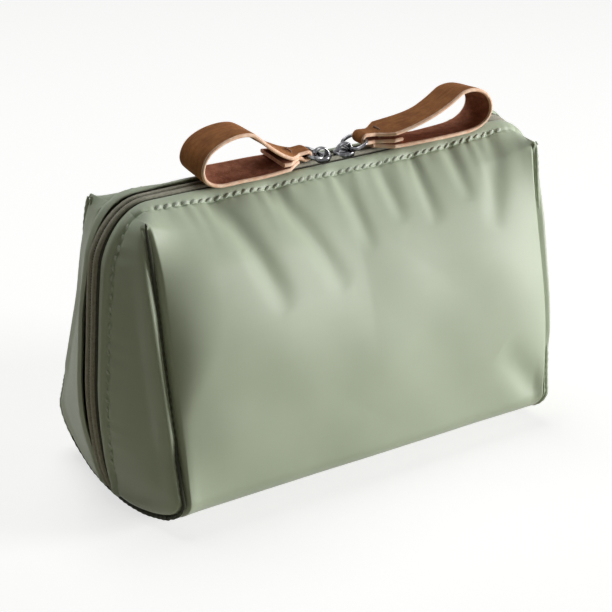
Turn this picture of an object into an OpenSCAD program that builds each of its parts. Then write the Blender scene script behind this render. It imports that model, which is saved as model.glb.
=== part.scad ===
// Zipped pouch that stands on its own base, with two loop pulls.
// Millimetres. X runs along the pouch, the front faces -Y, Z is up,
// and the origin is under the middle of the base.

/* [Pouch] */
// length over the two zip corners
pouch_len = 238; // [200:1:260]
// height of the zip's outer face along the top
zip_top_z = 135; // [110:1:150]
// radius of the zip where it turns down each end
corner_r = 25; // [18:1:32]
// how far the zip tucks in towards its lower end
end_tuck = 8; // [4:1:12]
// height of the zip's lower end
zip_low_z = 16; // [14:1:24]
// half depth at the fold above the base
base_half = 48.6; // [42:0.5:56]
// height of that fold
fold_z = 16; // [13:1:20]
// half depth of the flat strip the pouch stands on
foot_half = 14; // [8:1:20]
// half length at the bottom of the end seams
seam_low_x = 102.5; // [90:0.5:110]
// half length at the top points of the end seams
ear_x = 106.5; // [95:0.5:112]
// half depth at those top points
ear_y = 23; // [15:1:28]
// height of those top points
ear_z = 131; // [110:1:134]

// how far the end seams bow inwards at mid height
seam_bow = 4.2; // [0:0.2:6]

/* [Cloth] */
// thickness of the outer cloth
cloth_t = 1.0; // [0.7:0.1:1.6]
// thickness of the lining
lining_t = 0.6; // [0.4:0.1:1.0]
// radius of the rolled seam lip
lip_r = 1.4; // [1.0:0.1:2.0]
// length of one topstitch
stitch_len = 3.0; // [1.8:0.1:4.0]
// spacing of the topstitches
stitch_pitch = 4.4; // [3.0:0.1:6.0]

/* [Zip] */
// half width of the slot the slider post runs in
slot_half = 0.45; // [0.4:0.05:0.6]
// spacing of the coil's teeth
tooth_pitch = 2.0; // [1.4:0.1:3.0]
// outer edge of the tape from the middle
tape_half = 7.1; // [4.5:0.1:7.6]
// where the cloth edge starts from the middle
edge_half = 7.6; // [7.4:0.1:9.0]
// thickness of a slider plate
plate_t = 1.0; // [0.8:0.1:1.4]
// length of a slider
slider_len = 10; // [8:0.5:12]
// how far each slider can run
slider_run = 60; // [30:5:68]

/* [Pulls] */
// width of the leather strap
strap_w = 16; // [12:0.5:18]
// thickness of the leather strap
strap_t = 1.8; // [1.4:0.1:2.2]
// width of the strap where it passes the ring
neck_w = 6.4; // [5:0.1:7]
// wire diameter of a ring
ring_wire = 1.6; // [1.2:0.1:2.0]
// ring length between bar centres
ring_l = 8.4; // [7:0.1:10]
// ring width between side centres
ring_w = 11.4; // [10:0.1:13]
// reach of the left loop from its slider's bridge
reach_left = 65.5; // [50:0.5:80]
// reach of the right loop
reach_right = 73; // [50:0.5:85]
// how high the left loop stands above its bottom layer
rise_left = 22; // [14:0.5:26]
// how high the right loop stands
rise_right = 21; // [14:0.5:26]
// thickness of the sewing thread in the pulls
thread_d = 0.8; // [0.5:0.1:1.0]

/* [Hidden] */
$fn = 48;
gap = 0.3;
half_len = pouch_len / 2;
edge_drop = 2.4;
line_r = corner_r - edge_drop;
line_x = half_len - corner_r;
corner_x = line_x + line_r * cos(45);
corner_z = zip_top_z - corner_r + line_r * sin(45);
tuck_z = 60;
tuck_h = tuck_z - zip_low_z;
tuck_r = (tuck_h * tuck_h + end_tuck * end_tuck) / (2 * end_tuck);
tuck_a = asin(tuck_h / tuck_r);
low_x = half_len - end_tuck;
fold_v = 0.26;
ear_v = 0.84;
cut_v = 0.176;
flat_k = 0.25;
end_pow = 5;
mid_gap = 0.8;

cloth_c = [0.66, 0.70, 0.60];
shade_c = [0.36, 0.37, 0.29];
lining_c = [0.82, 0.80, 0.74];
tape_c = [0.34, 0.33, 0.28];
coil_c = [0.22, 0.22, 0.19];
metal_c = [0.32, 0.32, 0.34];
leather_c = [0.52, 0.33, 0.20];
thread_c = [0.80, 0.83, 0.74];

// ---------- small helpers ----------
function mix(a, b, t) = a + (b - a) * t;
function clip(t) = max(0, min(1, t));
function unit(p) = p / norm(p);
function bez(a, b, c, d, t) =
  a * pow(1 - t, 3) + 3 * b * t * pow(1 - t, 2) + 3 * c * t * t * (1 - t) + d * pow(t, 3);

// ---------- the pouch's surfaces ----------
// half of the base seen from the end: flat foot, then a rise to the fold
function base_curve(k) = k < flat_k
  ? [foot_half * k / flat_k, 0]
  : bez([foot_half, 0], [30, 0.5], [base_half - 0.5, 6], [base_half, fold_z],
        (k - flat_k) / (1 - flat_k));

// column of the front face at mid length, v from the base's middle to the zip
function mid_column(v) = v < fold_v
  ? base_curve(v / fold_v)
  : bez([base_half, fold_z], [base_half - 2.5, 62], [ear_y, zip_top_z - 9],
        [edge_half, zip_top_z - edge_drop], (v - fold_v) / (1 - fold_v));

// column along the end seam, then on from the ear to the zip corner
function seam_column(v) = v < fold_v
  ? base_curve(v / fold_v)
  : v < ear_v
    ? mix([base_half, fold_z], [ear_y, ear_z], (v - fold_v) / (ear_v - fold_v))
      - [seam_bow, 0] * sin(180 * (v - fold_v) / (ear_v - fold_v))
    : mix([ear_y, ear_z], [edge_half, corner_z], (v - ear_v) / (1 - ear_v));

// height of the cloth edge beside the zip
function edge_z(x) = zip_top_z - corner_r
  + sqrt(line_r * line_r - pow(max(0, min(line_r * 0.99, abs(x) - line_x)), 2));

// half length of the seam at v
function seam_x(v) = v < ear_v
  ? mix(seam_low_x, ear_x, clip((v - fold_v) / (ear_v - fold_v)))
  : mix(ear_x, corner_x, (v - ear_v) / (1 - ear_v));

// a point of the front face, s from -1 at the left seam to 1 at the right
function face_pt(s, v) = let(
    b = pow(abs(s), end_pow),
    x = s * seam_x(v),
    c = mix(mid_column(v), seam_column(v), b),
    t = clip((v - ear_v) / (1 - ear_v)),
    lift = edge_z(x) - mix(zip_top_z - edge_drop, corner_z, b)
  ) [x, -c[0], c[1] + lift * t];

// the cloth edge beside the zip on the left end, u from low to the corner
line_up = zip_top_z - corner_r - zip_low_z;
line_arc = line_r * PI / 4;
line_all = line_up + line_arc;
function line_pt(u) = let(
    d = u * line_all,
    z = zip_low_z + min(d, line_up),
    a = max(0, d - line_up) / line_r * 180 / PI,
    tuck = tuck_r - sqrt(tuck_r * tuck_r - pow(max(0, tuck_z - z), 2))
  ) d < line_up
    ? [-(half_len - edge_drop - tuck), -edge_half, z]
    : [-(line_x + line_r * cos(a)), -edge_half, zip_top_z - corner_r + line_r * sin(a)];

// inner edge of the left front gusset: up the middle, then beside the zip
stub_u = 0.14;
stub_z = 7.4;
function inner_pt(u) = u < stub_u
  ? mix([-seam_low_x - 2.6, -mid_gap, stub_z],
        [-(low_x - edge_drop), -mid_gap, zip_low_z - 2.5], u / stub_u)
  : line_pt((u - stub_u) / (1 - stub_u));

function seam_pt(v) = let(c = seam_column(v)) [-seam_x(v), -c[0], c[1]];

// a point of the left front gusset, g from the zip to the seam
function gusset_pt(g, u) = mix(inner_pt(u), seam_pt(u * ear_v) + [0, u < 0.001 ? -mid_gap : 0, 0], g);

// outward unit normals by small steps
function face_n(s, v) = let(
    ds = face_pt(min(s + 0.004, 1), v) - face_pt(max(s - 0.004, -1), v),
    dv = face_pt(s, min(v + 0.004, 1)) - face_pt(s, max(v - 0.004, 0))
  ) unit(cross(ds, dv));
function gusset_n(g, u) = let(
    dg = gusset_pt(min(g + 0.01, 1), u) - gusset_pt(max(g - 0.01, 0), u),
    du = gusset_pt(g, min(u + 0.01, 1)) - gusset_pt(g, max(u - 0.01, 0))
  ) unit(cross(dg, du));

// closed shell between two grids of points, rows first
module shell(a, b) {
  r = len(a);
  c = len(a[0]);
  n = r * c;
  pts = concat([for (i = [0:r-1]) for (j = [0:c-1]) a[i][j]],
               [for (i = [0:r-1]) for (j = [0:c-1]) b[i][j]]);
  faces = concat(
    [for (i = [0:r-2]) for (j = [0:c-2]) [i*c+j, (i+1)*c+j+1, (i+1)*c+j]],
    [for (i = [0:r-2]) for (j = [0:c-2]) [i*c+j, i*c+j+1, (i+1)*c+j+1]],
    [for (i = [0:r-2]) for (j = [0:c-2]) [n+i*c+j, n+(i+1)*c+j, n+(i+1)*c+j+1]],
    [for (i = [0:r-2]) for (j = [0:c-2]) [n+i*c+j, n+(i+1)*c+j+1, n+i*c+j+1]],
    [for (i = [0:r-2]) [i*c, (i+1)*c, n+(i+1)*c]],
    [for (i = [0:r-2]) [i*c, n+(i+1)*c, n+i*c]],
    [for (i = [0:r-2]) [i*c+c-1, n+(i+1)*c+c-1, (i+1)*c+c-1]],
    [for (i = [0:r-2]) [i*c+c-1, n+i*c+c-1, n+(i+1)*c+c-1]],
    [for (j = [0:c-2]) [j, n+j+1, j+1]],
    [for (j = [0:c-2]) [j, n+j, n+j+1]],
    [for (j = [0:c-2]) [(r-1)*c+j, (r-1)*c+j+1, n+(r-1)*c+j+1]],
    [for (j = [0:c-2]) [(r-1)*c+j, n+(r-1)*c+j+1, n+(r-1)*c+j]]
  );
  polyhedron(points = pts, faces = faces, convexity = 6);
}

// part of the front face as a shell, offsets measured inwards
module face_shell(v0, v1, trim, d0, d1, rows, cols) {
  grid = [for (i = [0:rows]) [for (j = [0:cols])
    let(v = mix(v0, v1, i / rows), m = 1 - trim / seam_x(v)) [m * sin(90 * (2 * j / cols - 1)), v]]];
  shell([for (r = grid) [for (p = r) face_pt(p[0], p[1]) - face_n(p[0], p[1]) * d0]],
        [for (r = grid) [for (p = r) face_pt(p[0], p[1]) - face_n(p[0], p[1]) * d1]]);
}

// part of the left front gusset as a shell
module gusset_shell(u0, u1, g0, trim, d0, d1, rows, cols) {
  grid = [for (i = [0:rows]) [for (j = [0:cols])
    let(u = mix(u0, u1, i / rows),
        w = norm(gusset_pt(1, u) - gusset_pt(0, u)),
        e = 1 - (trim + 2.4 * max(0, 1 - u / 0.3)) / w) [mix(g0 / w, e, j / cols), u]]];
  shell([for (r = grid) [for (p = r) gusset_pt(p[0], p[1]) - gusset_n(p[0], p[1]) * d0]],
        [for (r = grid) [for (p = r) gusset_pt(p[0], p[1]) - gusset_n(p[0], p[1]) * d1]]);
}

// rolled lip: an eight-sided tube just inside the seam from v0 to v1
lip_in = lip_r + 0.1;
module lip(v0, v1, rows) {
  ring = [for (i = [0:rows]) let(
      v = mix(v0, v1, i / rows),
      q = unit(seam_pt(min(1, v + 0.006)) - seam_pt(max(0, v - 0.006))),
      a = unit(cross(q, [-1, 0, 0])),
      b = cross(q, a),
      p = seam_pt(v) - a * lip_in
    ) [for (k = [0:7]) p + lip_r * (a * cos(45 * k) + b * sin(45 * k))]];
  pts = [for (r = ring) for (p = r) p];
  last = 8 * rows;
  polyhedron(points = pts, convexity = 6, faces = concat(
    [for (i = [0:rows-1]) for (k = [0:7]) [8*i+k, 8*i+8+k, 8*i+8+(k+1)%8]],
    [for (i = [0:rows-1]) for (k = [0:7]) [8*i+k, 8*i+8+(k+1)%8, 8*i+(k+1)%8]],
    [[0, 1, 2, 3, 4, 5, 6, 7]],
    [[last+7, last+6, last+5, last+4, last+3, last+2, last+1, last]]
  ));
}

module to_right() { mirror([1, 0, 0]) children(); }
module to_back() { mirror([0, 1, 0]) children(); }

// ---------- cloth ----------
lip_trim = lip_r + 2 * gap;
lip_end_v = 0.985;
cut_gap = 0.004;

module base_panel() {
  color(cloth_c) union() {
    shell(
      [for (i = [-12:12]) let(v = cut_v * abs(i) / 12, sg = i < 0 ? -1 : 1)
        [for (j = [-1, 1]) let(p = face_pt(0, v)) [j * (seam_low_x - lip_trim), -sg * p[1], p[2]]]],
      [for (i = [-12:12]) let(v = cut_v * abs(i) / 12, sg = i < 0 ? -1 : 1)
        [for (j = [-1, 1]) let(p = face_pt(0, v) - face_n(0, v) * cloth_t)
          [j * (seam_low_x - lip_trim), -sg * p[1], p[2]]]]);
  }
}

module front_cloth() {
  face_shell(cut_v + 2 * cut_gap, 1, lip_trim, 0, cloth_t, 22, 26);
}
module front_panel() {
  color(cloth_c) front_cloth();
}
module back_panel() {
  color(cloth_c) to_back() front_cloth();
}

module gusset_cloth() {
  gusset_shell(0, 0.95, 0, 2 * lip_r + 1.1, 0, cloth_t, 26, 5);
}
module gusset_left_front() {
  color(shade_c) gusset_cloth();
}
module gusset_right_front() {
  color(shade_c) to_right() gusset_cloth();
}
module gusset_left_back() {
  color(shade_c) to_back() gusset_cloth();
}
module gusset_right_back() {
  color(shade_c) to_back() to_right() gusset_cloth();
}

module lip_up() {
  lip(cut_v + 3 * cut_gap, lip_end_v, 26);
}
module lip_foot() {
  lip(0.001, cut_v - 0.5 * cut_gap, 10);
  to_back() lip(0.001, cut_v - 0.5 * cut_gap, 10);
}
module seam_lip_left_front() {
  color(shade_c) lip_up();
}
module seam_lip_right_front() {
  color(shade_c) to_right() lip_up();
}
module seam_lip_left_back() {
  color(shade_c) to_back() lip_up();
}
module seam_lip_right_back() {
  color(shade_c) to_back() to_right() lip_up();
}
module seam_lip_left_base() {
  color(shade_c) lip_foot();
}
module seam_lip_right_base() {
  color(shade_c) to_right() lip_foot();
}

// ---------- lining, one layer inside the cloth ----------
lin_0 = cloth_t + 1.5 * gap;
lin_1 = lin_0 + lining_t;
module lining_base() {
  color(lining_c) shell(
    [for (i = [-10:10]) let(v = cut_v * abs(i) / 10, sg = i < 0 ? -1 : 1)
      [for (j = [-1, 1]) let(p = face_pt(0, v) - face_n(0, v) * lin_0)
        [j * (seam_low_x - 4), -sg * p[1], p[2]]]],
    [for (i = [-10:10]) let(v = cut_v * abs(i) / 10, sg = i < 0 ? -1 : 1)
      [for (j = [-1, 1]) let(p = face_pt(0, v) - face_n(0, v) * lin_1)
        [j * (seam_low_x - 4), -sg * p[1], p[2]]]]);
}
module lining_face() {
  face_shell(cut_v + 2 * cut_gap, 0.95, 4, lin_0, lin_1, 16, 16);
}
module lining_end() {
  gusset_shell(0.12, 0.9, 1.5, 5.2, lin_0, lin_1, 14, 3);
}
module lining_front() {
  color(lining_c) lining_face();
}
module lining_back() {
  color(lining_c) to_back() lining_face();
}
module lining_ends_front() {
  color(lining_c) {
    lining_end();
    to_right() lining_end();
  }
}
module lining_ends_back() {
  color(lining_c) to_back() {
    lining_end();
    to_right() lining_end();
  }
}

// ---------- zip ----------
// tape section for one side: x is the distance from the middle, y the height
module tape_section() {
  polygon([[slot_half, 0], [2.7, 0], [3.1, -1.3], [tape_half, -2.2],
           [tape_half, -2.8], [2.7, -2.0], [2.3, -0.8], [slot_half, -0.8]]);
}
// comb of teeth for a straight stretch of coil, as long as l
module comb(l) {
  n = floor(l / tooth_pitch);
  m = (l - n * tooth_pitch) / 2;
  translate([0, 0, -2.1])
    linear_extrude(1)
      polygon(concat(
        [[1.6, 0]],
        [for (i = [0:n-1]) for (k = [0:3])
          [(k == 1 || k == 2) ? slot_half + 0.1 : 1.2,
           m + i * tooth_pitch + (k < 2 ? 0.5 : 1.5) * tooth_pitch / 2]],
        [[1.6, l]]));
}

// sections have x as the distance from the middle and y outwards;
// this lays one along the zip's whole path on the front side
module along_zip(end_cut) {
  translate([line_x, 0, zip_top_z])
    rotate([90, 0, -90])
      linear_extrude(2 * line_x)
        children();
  for (side = [0, 1])
    mirror([side, 0, 0]) {
      translate([-line_x, 0, zip_top_z - corner_r])
        rotate([90, 0, 0])
          rotate([0, 0, 90])
            rotate_extrude(angle = 90)
              translate([corner_r, 0])
                rotate(90)
                  mirror([0, 1])
                    children();
      translate([-half_len, 0, tuck_z])
        mirror([0, 1, 0])
          linear_extrude(zip_top_z - corner_r - tuck_z)
            rotate(90)
              children();
      bend(0, tuck_a - end_cut)
        children();
    }
}
// the slow bend towards the zip's lower end, between two angles
module bend(a0, a1) {
  translate([tuck_r - half_len, 0, tuck_z])
    rotate([90, 0, 0])
      rotate([0, 0, 180 + a0])
        rotate_extrude(angle = a1 - a0)
          translate([tuck_r, 0])
            rotate(90)
              mirror([0, 1])
                children();
}

module tape() {
  along_zip(1.3)
    tape_section();
}
module coil() {
  along_zip(1.3)
    translate([1.2, -2.2])
      square([1.1, 1.2]);
  translate([-line_x, 0, zip_top_z])
    rotate([0, 0, -90])
      comb(2 * line_x);
  for (side = [0, 1])
    mirror([side, 0, 0])
      translate([-half_len, 0, tuck_z])
        multmatrix([[0, 0, -1, 0], [-1, 0, 0, 0], [0, 1, 0, 0]])
          comb(zip_top_z - corner_r - tuck_z);
}
module stops() {
  for (side = [0, 1])
    mirror([side, 0, 0])
      bend(tuck_a - 1.15, tuck_a - 0.15)
        translate([slot_half, -2.6])
          square([3, 2.7]);
}
module zip_tape_front() {
  color(tape_c) tape();
}
module zip_tape_back() {
  color(tape_c) to_back() tape();
}
module zip_coil_front() {
  color(coil_c) coil();
}
module zip_coil_back() {
  color(coil_c) to_back() coil();
}
module zip_stops_front() {
  color(metal_c) stops();
}
module zip_stops_back() {
  color(metal_c) to_back() stops();
}

// ---------- topstitch beside the zip ----------
stitch_r = 0.35;
stitch_v = 0.972;
stitch_n = floor(92 / stitch_pitch);
module stitch_row() {
  for (i = [-stitch_n:stitch_n])
    let(
      x0 = i * stitch_pitch - stitch_len / 2,
      p = face_pt(x0 / seam_x(stitch_v), stitch_v),
      q = face_pt((x0 + stitch_len) / seam_x(stitch_v), stitch_v),
      n = face_n(i * stitch_pitch / seam_x(stitch_v), stitch_v) * (stitch_r + 0.08)
    )
    translate(p + n)
      rotate([0, acos(unit(q - p)[2]), atan2((q - p)[1], (q - p)[0])])
        cylinder(r = stitch_r, h = norm(q - p), $fn = 16);
}
module topstitch_front() {
  color(thread_c) stitch_row();
}
module topstitch_back() {
  color(thread_c) to_back() stitch_row();
}

// ---------- sliders, nose towards +X, origin on the zip's outer face ----------
bar_x = -1.9;
bar_z = plate_t + 1.45;
top_z = gap + plate_t;
module plate(z) {
  h = slider_len / 2;
  translate([0, 0, z])
    linear_extrude(plate_t)
      polygon([[-h, -2.9], [-h + 0.8, -3.6], [h - 2.6, -3.9], [h - 1.2, -3.4], [h, -1.4],
               [h, 1.4], [h - 1.2, 3.4], [h - 2.6, 3.9], [-h + 0.8, 3.6], [-h, 2.9]]);
}
module slider_body() {
  plate(gap);
  plate(-4.7);
  // post between the two coils
  translate([3.1, -0.28, -3.9])
    cube([1.4, 0.56, 4.4]);
  // bridge for the ring
  difference() {
    translate([0, 1.2, 0])
      rotate([90, 0, 0])
        linear_extrude(2.4)
          polygon([[-4.3, top_z - 0.2], [-4.2, 3.4], [-3.4, 4.5], [-2.2, 4.9], [1.6, 4.9],
                   [3.0, 4.3], [3.8, 3.2], [4.1, top_z - 0.2], [2.8, top_z - 0.2],
                   [2.6, 2.9], [1.9, 3.6], [-2.6, 3.6], [-3.1, 3.1], [-3.1, top_z - 0.2]]);
  }
}
slider_x_left = -2.0;
slider_x_right = 10.6;
module slider_left() {
  color(metal_c) translate([slider_x_left, 0, zip_top_z]) slider_body();
}
module slider_right() {
  color(metal_c) translate([slider_x_right, 0, zip_top_z]) mirror([1, 0, 0]) slider_body();
}

// ---------- pull rings ----------
ring_r = 2.2;
ring_z = zip_top_z + bar_z;
lift_left = 9.6;
lift_right = 22;
roll_left = 5;
roll_right = 1;
module ring_corner() {
  rotate_extrude(angle = 90)
    translate([ring_r, 0])
      circle(d = ring_wire, $fn = 32);
}
// ring lying towards -X from its bar in the bridge
module ring_body() {
  w = ring_w / 2;
  for (x = [0, -ring_l])
    translate([x, w - ring_r, 0])
      rotate([90, 0, 0])
        cylinder(d = ring_wire, h = ring_w - 2 * ring_r, $fn = 32);
  for (y = [-w, w])
    translate([-ring_r, y, 0])
      rotate([0, -90, 0])
        cylinder(d = ring_wire, h = ring_l - 2 * ring_r, $fn = 32);
  translate([-ring_r, w - ring_r, 0]) ring_corner();
  translate([-ring_l + ring_r, w - ring_r, 0]) rotate([0, 0, 90]) ring_corner();
  translate([-ring_l + ring_r, ring_r - w, 0]) rotate([0, 0, 180]) ring_corner();
  translate([-ring_r, ring_r - w, 0]) rotate([0, 0, 270]) ring_corner();
}
module pull_ring_left() {
  color(metal_c) translate([slider_x_left + bar_x, 0, ring_z])
    rotate([roll_left, 0, 0]) rotate([0, lift_left, 0]) ring_body();
}
module pull_ring_right() {
  color(metal_c) translate([slider_x_right - bar_x, 0, ring_z])
    rotate([roll_right, 0, 0]) mirror([1, 0, 0]) rotate([0, lift_right, 0]) ring_body();
}

// ---------- leather pulls, drawn in x and z about the ring's far bar ----------
wrap_r = ring_wire / 2 + 0.25 + strap_t / 2;
far_left = [-ring_l * cos(lift_left), ring_l * sin(lift_left)];
far_right = [-ring_l * cos(lift_right), ring_l * sin(lift_right)];

// centre line: bottom layer, loop, top layer, round the bar, and back as a tab
function run(a, b, c, d, n) = [for (i = [0:n-1]) bez(a, b, c, d, i / n)];
function top_layer(bar, low, neck, crest, rise) =
  run([crest, low + rise - 3.5], [crest + 11, low + rise - 11],
      [neck - 9, bar[1] + 1.0], [neck, bar[1] + wrap_r - 0.3], 12);
function strap_line(bar, low, neck, crest, tip, rise) = concat(
  [[neck, low]],
  run([tip + 12, low], [tip + 1, low], [tip - 3.5, low + 6], [tip, low + rise - 9], 12),
  run([tip, low + rise - 9], [tip + 3.5, low + rise - 2], [crest - 5, low + rise],
      [crest, low + rise - 3.5], 12),
  top_layer(bar, low, neck, crest, rise),
  [for (i = [0:10]) bar + wrap_r * [cos(90 - 18 * i), sin(90 - 18 * i)]],
  run(bar + [-1.2, -wrap_r], [neck + 2.5, bar[1] - wrap_r], [neck + 1.5, low + strap_t + 0.12],
      [neck - 1, low + strap_t + 0.12], 6),
  [[neck - 1, low + strap_t + 0.12], [neck - 15, low + strap_t + 1.2]]
);
function side_of(line, i) = let(
    a = line[max(0, i - 1)], b = line[min(len(line) - 1, i + 1)], d = unit(b - a)
  ) [-d[1], d[0]];
module strap_shape(line) {
  n = len(line);
  polygon(concat(
    [for (i = [0:n-1]) line[i] + side_of(line, i) * strap_t / 2],
    [for (i = [n-1:-1:0]) line[i] - side_of(line, i) * strap_t / 2]));
}
// holes or threads where the three layers are sewn together
sew_x = [-4, -7];
sew_y = 2.2;
module sewing(neck, z0, z1, d) {
  for (x = sew_x) for (y = [-sew_y, sew_y])
    translate([neck + x, y, z0])
      cylinder(d = d, h = z1 - z0, $fn = 24);
}
module strap(line, neck) {
  difference() {
    intersection() {
      translate([0, strap_w / 2, 0])
        rotate([90, 0, 0])
          linear_extrude(strap_w)
            strap_shape(line);
      translate([0, 0, -20])
        linear_extrude(60)
          polygon([[10, -neck_w / 2], [10, neck_w / 2], [neck - 0.5, neck_w / 2],
                   [neck - 8, strap_w / 2], [-100, strap_w / 2], [-100, -strap_w / 2],
                   [neck - 8, -strap_w / 2], [neck - 0.5, -neck_w / 2]]);
    }
    sewing(neck, -3, 8, thread_d + 0.4);
  }
}
low_left = -0.95;
low_right = -0.85;
neck_left = far_left[0] - 4.2;
neck_right = far_right[0] - 4.2;
crest_left = -0.626 * reach_left;
crest_right = -0.712 * reach_right;
line_left = strap_line(far_left, low_left, neck_left, crest_left, -reach_left, rise_left);
line_right = strap_line(far_right, low_right, neck_right, crest_right, -reach_right, rise_right);
top_left = top_layer(far_left, low_left, neck_left, crest_left, rise_left);
top_right = top_layer(far_right, low_right, neck_right, crest_right, rise_right);
module leather_pull_left() {
  color(leather_c) translate([slider_x_left + bar_x, 0, ring_z])
    rotate([roll_left, 0, 0]) strap(line_left, neck_left);
}
module leather_pull_right() {
  color(leather_c) translate([slider_x_right - bar_x, 0, ring_z])
    rotate([roll_right, 0, 0]) mirror([1, 0, 0]) strap(line_right, neck_right);
}
// two staples of thread through the three layers of one pull
module threads(neck, low, top) {
  for (dx = sew_x)
    let(x = neck + dx, z = lookup(x - thread_d / 2, top) + (strap_t + thread_d) / 2 + 0.25) {
      for (y = [-sew_y, sew_y])
        translate([x, y, low - strap_t / 2 + 0.1])
          cylinder(d = thread_d, h = z - low + strap_t / 2 - 0.1, $fn = 24);
      translate([x - thread_d / 2, -sew_y - thread_d / 2, z - thread_d / 2])
        cube([thread_d, 2 * sew_y + thread_d, thread_d]);
    }
}
module pull_stitches_left() {
  color(thread_c) translate([slider_x_left + bar_x, 0, ring_z])
    rotate([roll_left, 0, 0]) threads(neck_left, low_left, top_left);
}
module pull_stitches_right() {
  color(thread_c) translate([slider_x_right - bar_x, 0, ring_z])
    rotate([roll_right, 0, 0]) mirror([1, 0, 0]) threads(neck_right, low_right, top_right);
}

base_panel();
back_panel();
front_panel();
gusset_left_front();
gusset_right_front();
gusset_left_back();
gusset_right_back();
seam_lip_left_front();
seam_lip_right_front();
seam_lip_left_back();
seam_lip_right_back();
seam_lip_left_base();
seam_lip_right_base();
zip_tape_front();
zip_tape_back();
zip_coil_front();
zip_coil_back();
zip_stops_front();
zip_stops_back();
topstitch_front();
topstitch_back();
lining_base();
lining_front();
lining_back();
lining_ends_front();
lining_ends_back();
slider_left();
slider_right();
pull_ring_left();
pull_ring_right();
leather_pull_left();
leather_pull_right();
pull_stitches_left();
pull_stitches_right();
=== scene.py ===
# %% [markdown]
# # A small zipped pouch in sage green cloth
# The pouch stands on its own base. Two cloth faces lean together under a
# zip that runs over the top and down both ends, and two short leather loops
# hang from the sliders. The jointed model already says where everything
# goes, so this lesson loads it first and only builds what the eye needs.
# Every position below starts from the boxes of those solids.

# %% Load the frame
import math
import bpy
import numpy as np
from mathutils import Matrix, Vector


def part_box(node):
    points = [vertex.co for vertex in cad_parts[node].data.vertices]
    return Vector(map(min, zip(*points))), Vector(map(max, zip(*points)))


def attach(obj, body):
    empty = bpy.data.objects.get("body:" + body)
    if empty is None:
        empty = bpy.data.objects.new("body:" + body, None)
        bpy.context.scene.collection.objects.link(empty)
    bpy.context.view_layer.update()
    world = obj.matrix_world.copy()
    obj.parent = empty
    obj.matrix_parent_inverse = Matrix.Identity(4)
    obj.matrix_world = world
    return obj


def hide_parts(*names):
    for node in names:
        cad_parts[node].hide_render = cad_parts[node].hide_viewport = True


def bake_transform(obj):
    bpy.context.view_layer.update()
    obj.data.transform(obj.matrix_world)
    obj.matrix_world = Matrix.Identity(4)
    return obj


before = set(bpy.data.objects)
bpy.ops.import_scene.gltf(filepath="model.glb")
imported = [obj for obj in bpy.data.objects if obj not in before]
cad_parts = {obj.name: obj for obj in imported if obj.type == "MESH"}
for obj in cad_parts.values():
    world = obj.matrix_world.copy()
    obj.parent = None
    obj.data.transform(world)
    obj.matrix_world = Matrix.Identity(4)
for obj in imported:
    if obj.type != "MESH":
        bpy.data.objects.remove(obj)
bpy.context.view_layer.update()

# %% [markdown]
# ## Sizes
# All shapes are worked out in millimetres, as a maker would, and turned
# into metres when a mesh is made. The main sizes are read from the solids,
# so the cloth always fits the frame; the others belong to the cloth alone.

# %% Read the main sizes
MM = 0.001


def low(node):
    """Lowest corner of a solid, in millimetres."""
    return np.array(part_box(node)[0]) / MM


def high(node):
    """Highest corner of a solid, in millimetres."""
    return np.array(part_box(node)[1]) / MM


half_len = high("zip_tape_front")[0]
zip_top = high("zip_tape_front")[2]
zip_low = low("zip_stops_front")[2]
base_half = -low("front_panel")[1]
seam_low = high("seam_lip_right_base")[0] - 1.4
print(f"pouch {2 * half_len:.0f} mm long, {zip_top:.0f} mm high to the zip")

# %% [markdown]
# ## Camera
# A long lens from the left and a little above shows the front, one end and
# the top together. A camera held in the hand is rarely quite level, so it is
# also turned a few degrees about its own line of sight.

# %% Camera
def put(name, data):
    """A new object with this data, linked into the scene."""
    obj = bpy.data.objects.new(name, data)
    bpy.context.scene.collection.objects.link(obj)
    return obj


def facing(place, way):
    """Matrix of a lens or lamp that stands at a place and looks along a way."""
    return Matrix.Translation(place) @ way.to_track_quat("-Z", "Y").to_matrix().to_4x4()


def aim(azimuth, elevation, distance, target, roll):
    """Camera matrix: back away from the target by the two angles, then turn
    about the line of sight by roll."""
    a, e = math.radians(azimuth), math.radians(elevation)
    back = Vector((math.sin(a) * math.cos(e), -math.cos(a) * math.cos(e), math.sin(e)))
    turn = Matrix.Rotation(math.radians(roll), 4, "Z")
    return facing(Vector(target) + back * distance, -back) @ turn


lens = bpy.data.cameras.new("camera")
lens.sensor_width = 36
lens.lens = 123.2
lens.clip_end = 20
camera = put("camera", lens)
camera.matrix_world = aim(-39.1, 23.7, 0.931, (-0.0052, 0, 0.0656), 3.42)
bpy.context.scene.camera = camera
print("camera at", [round(x, 3) for x in camera.matrix_world.translation])

# %% [markdown]
# ## Arithmetic on sockets
# A woven or grained finish is a formula, so it is easier to read as one.
# `Value` wraps a socket so that `1 - mask` or `height * 0.5` adds the Math
# nodes, and `Finish.add` puts in any other kind of node.

# %% Value and Finish
class Value:
    """A shader socket that holds a number and can be used in arithmetic."""

    def __init__(self, finish, socket):
        self.finish, self.socket = finish, socket

    def math(self, operation, *others):
        """Any Math node with this value first."""
        numbers = dict(enumerate((self,) + others))
        return self.finish.add("ShaderNodeMath", numbers, operation=operation)

    def __add__(self, other):
        return self.math("ADD", other)

    __radd__ = __add__

    def __sub__(self, other):
        return self.math("SUBTRACT", other)

    def __rsub__(self, other):
        return self.math("MULTIPLY", -1) + other

    def __mul__(self, other):
        return self.math("MULTIPLY", other)

    __rmul__ = __mul__

    def __abs__(self):
        return self.math("ABSOLUTE")

    def __gt__(self, other):
        return self.math("GREATER_THAN", other)

    def sin(self):
        return self.math("SINE")

    def between(self, low_end, high_end):
        """0 below low_end, 1 above high_end, smooth in between."""
        limits = {"Value": self, "From Min": low_end, "From Max": high_end}
        return self.finish.add("ShaderNodeMapRange", limits, interpolation_type="SMOOTHSTEP")


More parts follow.
